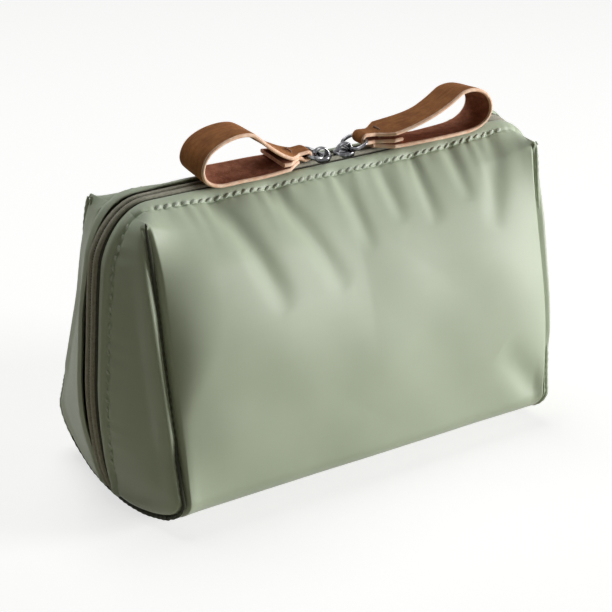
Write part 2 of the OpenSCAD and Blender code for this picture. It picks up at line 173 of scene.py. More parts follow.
class Finish:
    """A material, or the sky, in the making."""

    def __init__(self, name, owner=None):
        self.owner = owner or bpy.data.materials.new(name)
        self.owner.use_nodes = True
        self.tree = self.owner.node_tree
        self.tree.nodes.clear()

    def add(self, kind, inputs=None, output=0, **settings):
        """Put in a node: its settings first, then values or links for its inputs."""
        node = self.tree.nodes.new(kind)
        for key, value in settings.items():
            setattr(node, key, value)
        for key, value in (inputs or {}).items():
            if isinstance(value, Value):
                self.tree.links.new(value.socket, node.inputs[key])
            else:
                node.inputs[key].default_value = value
        return Value(self, node.outputs[output]) if node.outputs else None

    def flat(self):
        """The piece's own flat coordinates, in metres along and across it."""
        return self.add("ShaderNodeUVMap", uv_map="Flat")

    def place(self):
        """Where a point lies on the pouch, in metres."""
        return self.add("ShaderNodeTexCoord", output=3)

    def noise(self, where, scale, detail):
        """Noise with features about 1 / scale metres wide."""
        return self.add("ShaderNodeTexNoise", {"Vector": where, "Scale": scale, "Detail": detail})

    def streaks(self, uv, x, y, scale, detail):
        """Noise on flat coordinates that are scaled by x and y, so that it is
        drawn out along the smaller of the two."""
        drawn = self.add("ShaderNodeVectorMath", {0: uv, 1: (x, y, 1)}, operation="MULTIPLY")
        return self.noise(drawn, scale, detail)

    def mix(self, factor, a, b):
        """Colour a where the factor is 0 and b where it is 1."""
        return self.add("ShaderNodeMix", {0: factor, 6: a, 7: b}, 2, data_type="RGBA")

    def surface(self, colour, roughness, height, depth, **constants):
        """Principled surface. Height, from 0 to 1, stands up by depth metres."""
        bump = self.add("ShaderNodeBump", {"Height": height, "Strength": 1.0, "Distance": depth})
        inputs = {"Base Color": colour, "Roughness": roughness, **constants, "Normal": bump}
        shader = self.add("ShaderNodeBsdfPrincipled", inputs)
        self.add("ShaderNodeOutputMaterial", {"Surface": shader})
        print("finish:", self.owner.name, "with", len(self.tree.nodes), "nodes")
        return self.owner


def rgb(r, g, b):
    """A colour picked as it looks on a screen, 0 to 255, made linear."""
    c = np.array([r, g, b]) / 255
    return (*np.where(c < 0.04045, c / 12.92, ((c + 0.055) / 1.055) ** 2.4).tolist(), 1)


# %% [markdown]
# ## Light and floor
# One large soft lamp stands low to the right and in front, as a window
# would, so the front is bright and the near end falls into shade. A lamp
# above, a faint one behind and a dim warm sky fill that shade. The page
# behind is white only to the eye: the floor and sky look white to camera,
# mirror and glass rays, but give the object no more than plain light, and
# the floor still takes a shadow.

# %% Lamps, sky and floor
middle = Vector((0, 0, 0.06))
white = (1, 1, 1, 1)


def lamp(name, place, size, watts):
    """A square lamp aimed at the middle of the pouch."""
    data = bpy.data.lights.new(name, "AREA")
    data.shape, data.size, data.energy = "SQUARE", size, watts
    put(name, data).matrix_world = facing(place, middle - Vector(place))


lamp("key", (1.36, -0.88, 0.26), 0.55, 31.0)
lamp("top", (-0.05, 0.38, 1.2), 0.7, 6.0)
lamp("far_left", (-0.80, 1.10, 0.55), 0.7, 0.5)


def seen(finish):
    """1 for camera, mirror and glass rays, 0 for the rays that light the object."""
    camera_ray, mirror_ray, glass_ray = (
        finish.add("ShaderNodeLightPath", output=f"Is {ray} Ray")
        for ray in ("Camera", "Glossy", "Transmission"))
    return camera_ray.math("MAXIMUM", mirror_ray).math("MAXIMUM", glass_ray)


def make_sky(strength, tint):
    """White where it is seen, a dim even tint where it lights."""
    sky = Finish("sky", bpy.data.worlds.new("sky"))
    light = sky.add("ShaderNodeBackground", {"Color": tint, "Strength": strength})
    page = sky.add("ShaderNodeBackground", {"Color": white, "Strength": 1.0})
    both = sky.add("ShaderNodeMixShader", {0: seen(sky), 1: light, 2: page})
    sky.add("ShaderNodeOutputWorld", {"Surface": both})
    bpy.context.scene.world = sky.owner


def make_floor(size, glow):
    """Pale matt floor. Its seen side gives off a steady light of its own, so
    that it reads as white while the shadow stays soft and pale."""
    floor = Finish("floor")
    share = seen(floor)
    colour = floor.mix(share, (0.52, 0.48, 0.35, 1), (0.55, 0.55, 0.55, 1))
    matt = floor.add("ShaderNodeBsdfDiffuse", {"Color": colour})
    shine = floor.add("ShaderNodeEmission", {"Color": white, "Strength": share * glow})
    both = floor.add("ShaderNodeAddShader", {0: matt, 1: shine})
    floor.add("ShaderNodeOutputMaterial", {"Surface": both})
    mesh = bpy.data.meshes.new("floor")
    square = [(-size, -size, 0), (size, -size, 0), (size, size, 0), (-size, size, 0)]
    mesh.from_pydata(square, [], [(0, 1, 2, 3)])
    mesh.materials.append(floor.owner)
    put("floor", mesh)


make_sky(0.030, (1.0, 0.92, 0.56, 1))
make_floor(3.0, 0.69)
bpy.context.scene.view_settings.view_transform = "Standard"
print("lamps, sky and floor are in")

# %% [markdown]
# ## Cloth
# The outside is a close plain weave with a faint satin shine, in one sage
# green. Two sets of threads cross, and where the product of two sine waves
# changes sign the other thread is on top. Real dye is never quite even, so
# wide noise moves the colour a little and fine slubs run along the threads.
# A second, far darker copy of the cloth is painted shade: it stands for the shadow deep in a seam's
# crease.

# %% Cloth, lining, tape and thread
def split(finish, uv):
    """The two numbers in flat coordinates."""
    outputs = finish.add("ShaderNodeSeparateXYZ", {0: uv}).socket.node.outputs
    return Value(finish, outputs[0]), Value(finish, outputs[1])


def thread_waves(finish, pitch):
    """Two sine waves across the cloth's own flat coordinates, one for each
    set of threads; a wave's half length is the pitch."""
    uv = finish.flat()
    across, along = split(finish, uv)
    return uv, (across * (math.pi / pitch)).sin(), (along * (math.pi / pitch)).sin()


def plain_weave(finish, pitch):
    """Height of a plain weave: the sign of the product of the waves says
    which thread is on top, and its own wave is its round back."""
    uv, a, b = thread_waves(finish, pitch)
    over = (a * b) > 0
    return uv, over * abs(a) + (1 - over) * abs(b)


def cloth_finish(name, light, dark, pitch, sheen, rough):
    """Woven cloth between two colours, with slubs, uneven dye and sheen."""
    cloth = Finish(name)
    uv, weave = plain_weave(cloth, pitch)
    dye = cloth.noise(cloth.place(), 22, 2)
    slub = (cloth.streaks(uv, 1, 0.06, 900, 2) + cloth.streaks(uv, 0.06, 1, 900, 2)) * 0.5
    shade = dye.between(0.3, 0.7) * 0.45 + slub * 0.2 + weave * 0.35
    colour = cloth.mix(shade, dark, light)
    height = weave * 0.8 + slub * 0.25
    roughness = rough + (0.5 - slub) * 0.1 - weave * 0.04
    return cloth.surface(colour, roughness, height, 0.00003, **{
        "Sheen Weight": sheen, "Sheen Roughness": 0.4, "Specular IOR Level": 0.4})


sage = cloth_finish("sage_cloth", rgb(184, 195, 172), rgb(168, 180, 155), 0.00042, 0.10, 0.50)
# Painted shade: a far darker copy of the sage cloth, for the rolls that lie deep in the creases
# where shade falls.
seam_painted_shade = cloth_finish("seam_painted_shade", rgb(58, 60, 46), rgb(40, 42, 31), 0.00042, 0.0, 0.9)
lining = cloth_finish("lining_cloth", rgb(214, 210, 198), rgb(190, 186, 172), 0.0005, 0.1, 0.7)


def tape_finish(name, light, dark):
    """Knitted zip tape: narrow ribs along it, crossed by short stitches."""
    tape = Finish(name)
    uv, rib, cross = thread_waves(tape, 0.0006)
    height = abs(cross) * 0.6 + abs(rib) * 0.4
    dust = tape.noise(uv, 700, 3)
    shade = height * 0.6 + dust.between(0.3, 0.7) * 0.4
    colour = tape.mix(shade, dark, light)
    return tape.surface(colour, 0.85 - height * 0.1, height, 0.00008,
                        **{"Sheen Weight": 0.15, "Sheen Roughness": 0.5})


def thread_finish(name, light, dark):
    """Twisted sewing thread: slanting plies, worked out along and round it."""
    thread = Finish(name)
    along, around = split(thread, thread.flat())
    ply = abs(((along + around) * (math.pi / 0.0007)).sin())
    colour = thread.mix(ply, dark, light)
    return thread.surface(colour, 0.62 - ply * 0.1, ply, 0.00006, **{"Sheen Weight": 0.2})


# The rib finish is the tape's own colour; the second, far darker copy of the tape is painted shade
# for its flat part, sunk beside the ribs.
tape_rib = tape_finish("zip_rib", rgb(176, 173, 155), rgb(122, 119, 104))
tape_painted_shade = tape_finish("zip_tape", rgb(86, 83, 70), rgb(56, 54, 44))
sage_thread = thread_finish("sage_thread", rgb(206, 214, 198), rgb(150, 162, 140))
brown_thread = thread_finish("brown_thread", rgb(150, 104, 74), rgb(92, 56, 36))

# %% [markdown]
# ## Leather, metal and coil
# The pulls are vegetable tanned: a smooth brown grain side, a hairy reddish
# flesh side, and pale cut edges. Each side is its own finish, so one strap
# carries three. The sliders and rings are blackened chrome, which is a metal
# of low roughness with a few rubbed places, and the coil is glossy nylon.

# %% Leather finishes
def grain_side():
    """Small pebbled cells, darker in the creases, with drawn-out fibres."""
    hide = Finish("leather_grain")
    uv = hide.flat()
    cells = {"Vector": uv, "Scale": 1100.0, "Smoothness": 0.6}
    pebble = hide.add("ShaderNodeTexVoronoi", cells, feature="SMOOTH_F1")
    cloud = hide.noise(uv, 160, 4)
    streak = hide.streaks(uv, 0.25, 1, 700, 3)
    shade = cloud.between(0.3, 0.7) * 0.5 + streak.between(0.35, 0.65) * 0.3 + pebble * 0.3
    colour = hide.mix(shade, rgb(128, 80, 44), rgb(178, 120, 74))
    height = (1 - pebble) * 0.6 + streak * 0.4
    return hide.surface(colour, 0.78 + (cloud - 0.5) * 0.25, height, 0.00012,
                        **{"Specular IOR Level": 0.16})


def flesh_side():
    """Suede: short hairs in every direction, and pale pinkish flecks."""
    hide = Finish("leather_flesh")
    uv = hide.flat()
    hair = hide.streaks(uv, 0.5, 1, 1500, 4)
    cloud = hide.noise(uv, 300, 3)
    fleck = hide.noise(uv, 1900, 2).between(0.60, 0.72)
    shade = cloud.between(0.3, 0.7) * 0.6 + hair * 0.4
    base = hide.mix(shade, rgb(132, 84, 62), rgb(182, 122, 96))
    colour = hide.mix(fleck * 0.6, base, rgb(196, 150, 134))
    return hide.surface(colour, 0.92, hair, 0.0003, **{"Specular IOR Level": 0.1})


def cut_edge():
    """Pale raw edge, in thin layers along the strap."""
    hide = Finish("leather_edge")
    uv = hide.flat()
    layer = hide.streaks(uv, 0.15, 1, 2600, 3)
    blotch = hide.noise(uv, 350, 2)
    shade = layer.between(0.3, 0.7) * 0.5 + blotch.between(0.35, 0.7) * 0.5
    colour = hide.mix(shade, rgb(236, 184, 150), rgb(255, 228, 204))
    return hide.surface(colour, 0.7, layer, 0.0001)


def black_chrome():
    """Dark plated metal; noise rubs it brighter and rougher in places."""
    metal = Finish("black_chrome")
    place = metal.place()
    rub = metal.noise(place, 420, 3).between(0.45, 0.7)
    grit = metal.noise(place, 2400, 2)
    colour = metal.mix(rub, rgb(92, 92, 95), rgb(150, 150, 152))
    return metal.surface(colour, 0.12 + rub * 0.1, grit, 0.00001, Metallic=1.0)


def nylon():
    """Coil wire: dark, smooth, a little cloudy."""
    wire = Finish("coil_nylon")
    cloud = wire.noise(wire.place(), 500, 2)
    colour = wire.mix(cloud, rgb(52, 52, 44), rgb(84, 84, 72))
    return wire.surface(colour, 0.34 + cloud * 0.1, cloud, 0.00002)


leather = [grain_side(), cut_edge(), flesh_side()]
chrome = black_chrome()
coil_wire = nylon()

# %% [markdown]
# ## Surfaces from rows of points
# Cloth and leather are thin slabs. The outer face is a grid of points; the
# inner face is the same grid moved back along its normals, and two rows of
# half-round turns close the edges. Everything else here is a profile carried
# along a path. Both can be worked out as whole arrays.

# %% Grids, slabs and sweeps
def unit(a):
    """Each vector divided by its own length."""
    return a / np.maximum(np.linalg.norm(a, axis=-1, keepdims=True), 1e-9)


def smooth(t):
    """0 to 1 with level ends: t squared times (3 - 2t)."""
    t = np.clip(t, 0, 1)
    return t * t * (3 - 2 * t)


def part_way(x, start, end):
    """0 at the start, 1 at the end, straight in between and level outside."""
    return np.clip((x - start) / (end - start), 0, 1)


def bump_at(x, middle, width):
    """Bell curve: e to the minus square of the distance over the width."""
    return np.exp(-((x - middle) / width) ** 2)


def outward(grid):
    """Unit normals: the step along a row crossed with the step up a column."""
    return unit(np.cross(np.gradient(grid, axis=1), np.gradient(grid, axis=0)))


def travel(path):
    """Unit direction of travel at each point of a path."""
    return unit(np.gradient(path, axis=0))


def lengths(points):
    """Distance from the first point along a line, or down each column of a
    grid: the running sum of the steps."""
    steps = np.linalg.norm(np.diff(points, axis=0), axis=-1)
    return np.concatenate([0 * steps[:1], np.cumsum(steps, axis=0)])


def picked(values, run, at):
    """Rows of values that are known at distances run, read off at others."""
    return np.stack([np.interp(at, run, column) for column in values.T], -1)


def everywhere(path, way):
    """One direction for every point of a path."""
    return np.zeros_like(path) + way


def squared(a, power):
    """Sines or cosines pushed outwards by a power below one, which makes a
    circle squarer: the sign times the size to the power."""
    return np.sign(a) * np.abs(a) ** power


def ring_faces(index, wrap_axis):
    """Four-sided faces of a grid of point numbers that closes on itself along
    one axis; they face outwards when rows run up and columns run across."""
    if wrap_axis == 0:
        a, b = index, np.roll(index, -1, axis=0)
        return np.stack([a[:, :-1], a[:, 1:], b[:, 1:], b[:, :-1]], -1).reshape(-1, 4)
    a, b = index, np.roll(index, -1, axis=1)
    return np.stack([a[:-1], b[:-1], b[1:], a[1:]], -1).reshape(-1, 4)


def tube_faces(rows, cols, closed=False):
    """Faces of a row of rings, with a cap on each end unless the last ring
    meets the first."""
    index = np.arange(rows * cols).reshape(rows, cols)
    if closed:
        return [ring_faces(np.concatenate([index, index[:1]]), 1)]
    return [ring_faces(index, 1), index[:1, ::-1], index[-1:]]


def slab(face, thick, turns=4):
    """Closed slab under a grid. A half-round turn is the edge's middle plus
    half the thickness times (cos a along the normal + sin a off the edge)."""
    normal = outward(face)
    rows, cols = face.shape[:2]
    back = face - normal * thick
    a = np.linspace(0, np.pi, turns + 2)[1:-1][:, None, None]

    def turn(edge, inside, n):
        away = unit(edge - inside)
        return edge - n * thick / 2 + thick / 2 * (np.cos(a) * n + np.sin(a) * away)

    far = turn(face[-1], face[-2], normal[-1])
    near = turn(face[0], face[1], normal[0])[::-1]
    loop = np.concatenate([face, far, back[::-1], near])
    index = np.arange(loop.shape[0] * cols).reshape(-1, cols)
    faces = [ring_faces(index, 0)]
    for column, flip in ((0, 1), (cols - 1, -1)):
        line = index[:, column]
        behind = line[rows + turns:2 * rows + turns][::-1]
        strip = np.stack([line[:rows - 1], line[1:rows], behind[1:], behind[:-1]], -1)
        end_far = line[rows - 1:rows + turns + 1][None]
        end_near = np.append(line[2 * rows + turns - 1:], line[0])[None]
        faces += [strip[:, ::flip], end_far[:, ::flip], end_near[:, ::flip]]
    u = lengths(face[rows // 2]) * MM
    v = lengths(face[:, cols // 2]) * MM
    edge = np.linspace(0, thick, turns + 2)[1:-1] * MM
    v = np.concatenate([v, v[-1] + edge, v[::-1], -edge[::-1]])
    uv = np.stack(np.broadcast_arrays(u[None, :], v[:, None]), -1).reshape(-1, 2)
    side = np.ones(loop.shape[0], int)
    side[:rows - 1] = 0
    side[rows + turns:2 * rows + turns - 1] = 2
    side = np.repeat(side, cols - 1)
    side = np.concatenate([side, np.ones(sum(len(f) for f in faces[1:]), int)])
    return loop.reshape(-1, 3), faces, uv, side


def sweep(path, side, up, profile, closed=False):
    """A profile carried along a path: path point plus profile x times side
    plus profile y times up. Side crossed with up gives the way along."""
    points = path[:, None] + profile[..., :1] * side[:, None] + profile[..., 1:] * up[:, None]
    faces = tube_faces(*points.shape[:2], closed)
    around = lengths(points[0])
    uv = np.stack(np.broadcast_arrays(lengths(path)[:, None], around[None]), -1) * MM
    return points.reshape(-1, 3), faces, uv.reshape(-1, 2), None


def circle(radius, n):
    """Points round a circle, anticlockwise."""
    a = np.arange(n) * 2 * np.pi / n
    return radius * np.stack([np.cos(a), np.sin(a)], -1)


def joined(parts):
    """Several shapes as one, their point numbers moved up in turn."""
    parts = list(parts)
    first = np.cumsum([0] + [len(p[0]) for p in parts[:-1]])
    faces = [f + start for p, start in zip(parts, first) for f in p[1]]
    return np.concatenate([p[0] for p in parts]), faces, np.concatenate([p[2] for p in parts]), None


def mirrored(shape, *axes):
    """The shape on the other side across each axis in turn, with its faces
    turned back out."""
    points, faces, uv, side = shape
    for axis in axes:
        flip = np.ones(3)
        flip[axis] = -1
        points, faces = points * flip, [f[:, ::-1] for f in faces]
    return points, faces, uv, side


leans = [
    ((-106.5, -23, 131), (-1.6, 0, 2.2), 13),
    ((106.5, 23, 131), (3.4, 3.6, 4.4), 17),
    ((92, 8, 134), (0, 0, 2.6), 22),
    ((109, -40, 55), (1.9, -2.6, 0), 42),
    ((-112, 46, 16), (0.4, 0, 8.0), 24),
    ((-112, -8, 2), (-3.0, 0, 0), 24),
    ((-109, 38, 88), (0, -2.2, 0), 24),
    ((-112, 0, 122), (1.4, 0, -1.0), 16),
]


def relax(points):
    """An even drawing leans like a real soft pouch: near each place the
    points move by the shift times a bell curve of the distance. All the
    pieces are moved alike, so what meets still meets."""
    moved = points.copy()
    for place, shift, width in leans:
        away = np.linalg.norm(points - np.array(place), axis=-1, keepdims=True)
        moved += np.array(shift) * bump_at(away, 0, width)
    return moved


def piece(name, shape, finishes, solid, hold):
    """Make the mesh that stands for a solid, give it its flat coordinates and
    finishes, and hand it to the body that it rides on; where hold is a list of
    the two bodies that it lies between, its place is only baked into its points."""
    points, faces, uv, side = shape
    points = relax(points)
    mesh = bpy.data.meshes.new(name)
    mesh.from_pydata((points * MM).tolist(), [], sum((f.tolist() for f in faces), []))
    corner = np.empty(len(mesh.loops), np.int32)
    mesh.loops.foreach_get("vertex_index", corner)
    mesh.uv_layers.new(name="Flat").data.foreach_set("uv", uv[corner].astype(np.float32).ravel())
    for finish in finishes:
        mesh.materials.append(finish)
    if side is not None and len(finishes) > 1:
        mesh.polygons.foreach_set("material_index", side.astype(np.int32))
    mesh.shade_smooth()
    mesh.set_sharp_from_angle(angle=math.radians(50))
    obj = put(name, mesh)
    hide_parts(solid)
    if isinstance(hold, str):
        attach(obj, hold)
    else:
        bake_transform(obj)
    print(f"{name}: {len(mesh.polygons)} faces, size {np.ptp(points, axis=0).round(1).tolist()} mm")
    return obj


def sewn_sheet(obj, *grids):
    """Print the size of a piece's cut of cloth, stretched between its seams. The cut is as
    wide and as long as the longest row and column of each grid, side by
    side; its area is the cells' sum, each half its diagonals' cross product."""
    cuts, area = [], 0
    for grid in grids:
        runs = [np.linalg.norm(np.diff(grid, axis=a), axis=-1).sum(axis=a).max() for a in (1, 0)]
        diagonals = grid[1:, 1:] - grid[:-1, :-1], grid[1:, :-1] - grid[:-1, 1:]
        cuts.append(runs)
        area += np.linalg.norm(np.cross(*diagonals), axis=-1).sum() / 2
    width, length = sum(c[0] for c in cuts), max(c[1] for c in cuts)
    width * MM
    length * MM
    print(f"{obj.name}: cut {width:.0f} x {length:.0f} mm, {area / 100:.0f} square cm")


hinge_y, bend_low, bend_high = -40.1, 5, 50
bend = ["back_half", "front_half", *((0, hinge_y * MM, z * MM) for z in (bend_low, bend_high))]
sides = [("front", (), bend), ("back", (1,), "back_half")]
ways = [("left", ()), ("right", (0,))]
corners = [(f"{end}_{side}", across + along, hold)
           for side, along, hold in sides for end, across in ways]


def pair(name, stuff, front, back, finishes):
    """The front piece as it is drawn, and the back one mirrored."""
    for (side, axes, hold), shape in zip(sides, (front, back)):
        piece(f"{name}_{side}_{stuff}", mirrored(shape, *axes), finishes,
              f"{name}_{side}", hold)


# %% [markdown]
# ## The pouch's lines
# Seen from the end the pouch is a drop: a flat foot, a rise to a fold, then
# two faces that lean in to the zip. The middle of a face follows one column
# and its end seam another, and each point between mixes the two. The seams
# end in two points, or ears, where the face is folded round under the zip.

# %% Columns and edges
fold_z = 16.0
foot_half = 14.0
ear = np.array([23.0, 131.0])
ear_x = 106.5
corner_r = 25.0
end_tuck = 8.0
tuck_z = 60.0
cloth_t = 1.0
seam_gap = 0.9
edge_half = 4.6
edge_drop = 1.7
face_foot = 0.165
fold_v, ear_v, flat_k = 0.26, 0.84, 0.25
line_x = half_len - corner_r
line_r = corner_r - edge_drop
turn_at = math.radians(62)
corner_x = line_x + line_r * math.cos(turn_at)
corner_z = zip_top - corner_r + line_r * math.sin(turn_at)
tuck_h = tuck_z - zip_low
tuck_r = (tuck_h ** 2 + end_tuck ** 2) / (2 * end_tuck)


def bezier(a, b, c, d, t):
    """Cubic curve from a to d, drawn towards b and c on the way."""
    t = np.asarray(t)[..., None]
    a, b, c, d = (np.array(p, float) for p in (a, b, c, d))
    return a * (1 - t) ** 3 + 3 * b * t * (1 - t) ** 2 + 3 * c * t ** 2 * (1 - t) + d * t ** 3


def base_curve(k):
    """Half the base from the end: level foot, then a curve up to the fold."""
    foot = np.stack([foot_half * k / flat_k, 0 * k], -1)
    rise = bezier((foot_half, 0), (30, 0.5), (base_half - 0.5, 6), (base_half, fold_z),
                  part_way(k, flat_k, 1))
    return np.where((k < flat_k)[..., None], foot, rise)


def mid_column(v):
    """Middle of a face: the base curve, then one curve up to the zip."""
    up = bezier((base_half, fold_z), (base_half - 2.5, 62), (ear[0], zip_top - 9),
                (edge_half, zip_top - edge_drop), part_way(v, fold_v, 1))
    return np.where((v < fold_v)[..., None], base_curve(part_way(v, 0, fold_v)), up)


def seam_column(v):
    """End seam: the base curve, a line to the ear that bows in by a sine
    wave, and a line on to the zip's corner."""
    t = part_way(v, fold_v, ear_v)[..., None]
    start = np.array([base_half, fold_z])
    up = start + (ear - start) * t - np.array([1.6, 0]) * np.sin(np.pi * t)
    t = part_way(v, ear_v, 1)[..., None]
    on = ear + (np.array([edge_half, corner_z]) - ear) * t
    low_part = base_curve(part_way(v, 0, fold_v))
    return np.where((v < fold_v)[..., None], low_part, np.where((v < ear_v)[..., None], up, on))


def edge_z(x):
    """Height of the cloth edge: level, then a quarter circle at each end."""
    out = np.clip(np.abs(x) - line_x, 0, line_r * 0.99)
    return zip_top - corner_r + np.sqrt(line_r ** 2 - out ** 2)


def seam_x(v):
    """Half length at the seam: out to the ear, then on to the corner."""
    low_part = seam_low + (ear_x - seam_low) * part_way(v, fold_v, ear_v)
    return np.where(v < ear_v, low_part, ear_x + (corner_x - ear_x) * (v - ear_v) / (1 - ear_v))


def face_points(s, v):
    """Front face: s runs from one end seam to the other and v from the
    base's middle to the zip. |s| to the seventh power mixes the columns."""
    share = np.abs(s) ** 7
    x = s * seam_x(v)
    yz = mid_column(v) * (1 - share)[..., None] + seam_column(v) * share[..., None]
    near_top = part_way(v, ear_v, 1)
    level = (zip_top - edge_drop) * (1 - share) + corner_z * share
    return np.stack([x, -yz[..., 0], yz[..., 1] + (edge_z(x) - level) * near_top], -1)


def seam_points(v):
    """The left front seam."""
    yz = seam_column(v)
    return np.stack([-seam_x(v), -yz[..., 0], yz[..., 1]], -1)


print(f"corner of the zip at x {corner_x:.1f}, z {corner_z:.1f} mm")

# %% [markdown]
# ## Folds
# Cloth that is sewn to a zip is never flat. Short puckers hang from each
# stitch, a few soft valleys run down from the row where the loops pull, and
# one low swell fills the middle. A fold here is a bell curve across a line
# that fades towards its ends, so a list of lines makes the whole face.

# %% Fold lines and the hem
def fold(x, z, start, end, width, height):
    """Height of one fold: a bell curve of the distance from its line, times
    a half sine wave along it."""
    start, end = np.array(start, float), np.array(end, float)
    along = end - start
    size = np.linalg.norm(along)
    t = ((x - start[0]) * along[0] + (z - start[1]) * along[1]) / size ** 2
    away = ((x - start[0]) * along[1] - (z - start[1]) * along[0]) / size
    run = np.sin(np.pi * np.clip(t, 0, 1)) ** 0.8
    return height * bump_at(away, 0, width) * run


front_folds = [
    ((-77, 152), (-45, 86), 5.6, -2.4),
    ((-49, 152), (-12, 88), 5.2, -2.0),
    ((-3, 146), (6, 100), 3.8, -1.2),
    ((20, 142), (26, 108), 3.8, -1.3),
    ((39, 142), (44, 104), 4.2, -1.4),
    ((60, 142), (65, 110), 3.8, -1.1),
    ((90, 140), (74, 96), 5.4, -1.3),
    ((112, 2), (72, 44), 7.0, -2.0),
    ((30, 92), (-10, 38), 20.0, 0.8),
]
back_folds = [
    ((78, 150), (50, 86), 6.0, -2.4),
    ((28, 144), (16, 92), 4.6, -1.7),
    ((-6, 142), (-14, 98), 4.2, -1.4),
    ((-38, 142), (-46, 96), 4.8, -1.8),
    ((-84, 146), (-66, 94), 5.2, -2.0),
    ((0, 90), (20, 36), 22.0, 1.4),
]
hem_wide = 6.0
stitch_pitch = 4.4


def hem(d, along, loose=1.0):
    """Height of the folded hem at distance d from the edge: a half sine welt
    and a groove under the stitches; and, where it is loose, a small dimple
    and tug at every stitch."""
    welt = 0.85 * np.sin(np.pi * np.clip(d / hem_wide, 0, 1)) ** 0.7
    groove = -0.42 * bump_at(d, hem_wide, 0.8)
    dimple = 0.16 * np.cos(2 * np.pi * along / stitch_pitch) * bump_at(d, hem_wide, 1.6)
    tug = 0.26 * np.sin(along / 1.45 + 1.7 * np.sin(along / 6.1))
    hang = np.clip(d - hem_wide, 0, None)
    return welt + groove + loose * (dimple + tug * np.exp(-hang / 7) * smooth((d - 4) / 4))


def pillow(x, side, z):
    """How a face swells: one minus a power of the distance to an end seam,
    then a slow fall as a bell curve; narrower towards the base, where the
    seam stands out beside a dish. The whole face bulges by a parabola."""
    wide = 7 + 20 * smooth((z - 46) / 42)
    near = 1 - np.clip(1 - side / wide, 0, 1) ** 2.3
    swell = wide / 3.9 * near * bump_at(np.clip(side - 22, 0, None), 0, 62) * smooth((136 - z) / 30)
    dish = (1 - np.clip(1 - side / 20, 0, 1) ** 2.3) * bump_at(np.clip(side - 20, 0, None), 0, 60)
    swell = swell - 3.0 * bump_at(z, 14, 22) * dish
    bulge = 1.8 * (1 - (x / 112) ** 2) * smooth((z - 10) / 60) * smooth((138 - z) / 50)
    return swell * (0.25 + 0.75 * smooth(0.5 - x / 90)) + bulge


def wander(x, z, seed):
    """Slow unevenness: three sine waves that cross at odd angles."""
    return (0.30 * np.sin(x / 17.0 + z / 31.0 + seed)
            + 0.22 * np.sin(x / 29.0 - z / 13.0 + 2 * seed)
            + 0.10 * np.sin(x / 7.1 + z / 9.3 + 3 * seed))


# %% [markdown]
# ## Front and back faces
# Each face is one cut of cloth, from under the base to the zip. Near the end
# seams it turns down into the crease beside the rolled lip. The zip's far
# side stands a little higher than its near side, because nothing inside
# holds it down.

# %% Front and back faces
def from_edge(grid):
    """Distance of each point of a face from the zip's edge, down its column."""
    return lengths(grid[::-1])[::-1]


def towards_edge(normal, x, away):
    """Normals that turn, over the last 8 mm, to the one direction that the
    face and the end piece share where the cloth runs on without a seam."""
    share = smooth(away / 8)[..., None]
    common = unit(np.stack([0.62 * np.sign(x), -0.30 + 0 * x, 0.72 + 0 * x], -1))
    return unit(normal * share + common * (1 - share))


def rounding(v, away, d):
    """Above the ear both cloths bend over a soft edge: a push inwards that
    grows with the square of the nearness; none at the zip or at the ear."""
    near = np.clip(1 - away / 7, 0, 1) ** 2
    return 1.9 * near * smooth((v - ear_v + 0.02) / 0.02) * smooth(d / 7)


def face_cloth(folds, seed, lift):
    """Outer face of one side, as rows from the base up: the plain surface,
    moved along its normals by folds, hem, unevenness and the turned edge."""
    v = np.concatenate([np.linspace(face_foot, 0.32, 22)[:-1], np.linspace(0.32, 0.92, 96)[:-1],
                        np.linspace(0.92, 1.0, 44)])
    t = np.sin(np.linspace(-np.pi / 2, np.pi / 2, 250))
    v, s = np.meshgrid(v, t, indexing="ij")
    sewn = 1 - smooth((v - ear_v + 0.02) / 0.03)
    s = s * (1 - seam_gap * sewn / seam_x(v))
    grid = face_points(s, v)
    normal = outward(grid)
    x, z = grid[..., 0], grid[..., 2]
    d = from_edge(grid)
    side = (1 - np.abs(s)) * seam_x(v)
    out = sum(fold(x, z, *f) for f in folds) * smooth(d / 7) * smooth(side / 9)
    out = out + pillow(x, side, z)
    out = out + hem(d, x, smooth(side / 8))
    out = out + wander(x, z, seed) * smooth(side / 25) * smooth(d / 15)
    out = out - 3.2 * (1 - smooth((side - seam_gap) / 2.6)) * sewn
    above = smooth((v - ear_v + 0.01) / 0.02)
    normal = towards_edge(normal, x, np.where(above > 0, side / np.maximum(above, 0.01), 9))
    out = out - rounding(v, side, d)
    grid = grid + normal * (out * smooth((v - 0.17) / 0.08))[..., None]
    grid[..., 2] += lift(x) * np.exp(-(d / 16) ** 2)
    return grid


def front_lift(x):
    """How much higher the near hem stands than the plain surface."""
    return 0.5 + 1.5 * smooth((x - 12) / 70) + 0.4 * smooth((-x - 55) / 22)


def back_lift(x):
    """The far hem stands about two millimetres high all along."""
    return 2.1 + 0 * x


front_grid = face_cloth(front_folds, 0.4, front_lift)
back_grid = face_cloth(back_folds, 2.1, back_lift)
for (name, axes, hold), grid in zip(sides, (front_grid, back_grid)):
    cloth = piece(f"{name}_cloth", mirrored(slab(grid, cloth_t), *axes), [sage],
                  f"{name}_panel", hold)
    sewn_sheet(cloth, grid)

# %% [markdown]
# ## Base
# The base is the strip the pouch stands on. Its edges run up under the two
# faces, so the join stays out of sight.

# %% Base
def base_cloth(inset, v_end, length, rows=60, cols=90):
    """The base curve and its mirror image carried along the length, inset
    by a distance inwards."""
    v = np.linspace(-v_end, v_end, rows)[:, None] + np.zeros(cols)
    x = np.linspace(-length, length, cols)[None] + 0 * v
    yz = mid_column(np.abs(v))
    grid = np.stack([x, np.sign(v) * yz[..., 0], yz[..., 1]], -1)
    grid = grid[::-1]
    return grid - outward(grid) * inset


base_shape = base_cloth(0.12, 0.19, seam_low - 0.9)
base = piece("base_cloth", slab(base_shape, cloth_t), [sage], "base_panel", "back_half")
sewn_sheet(base, base_shape)

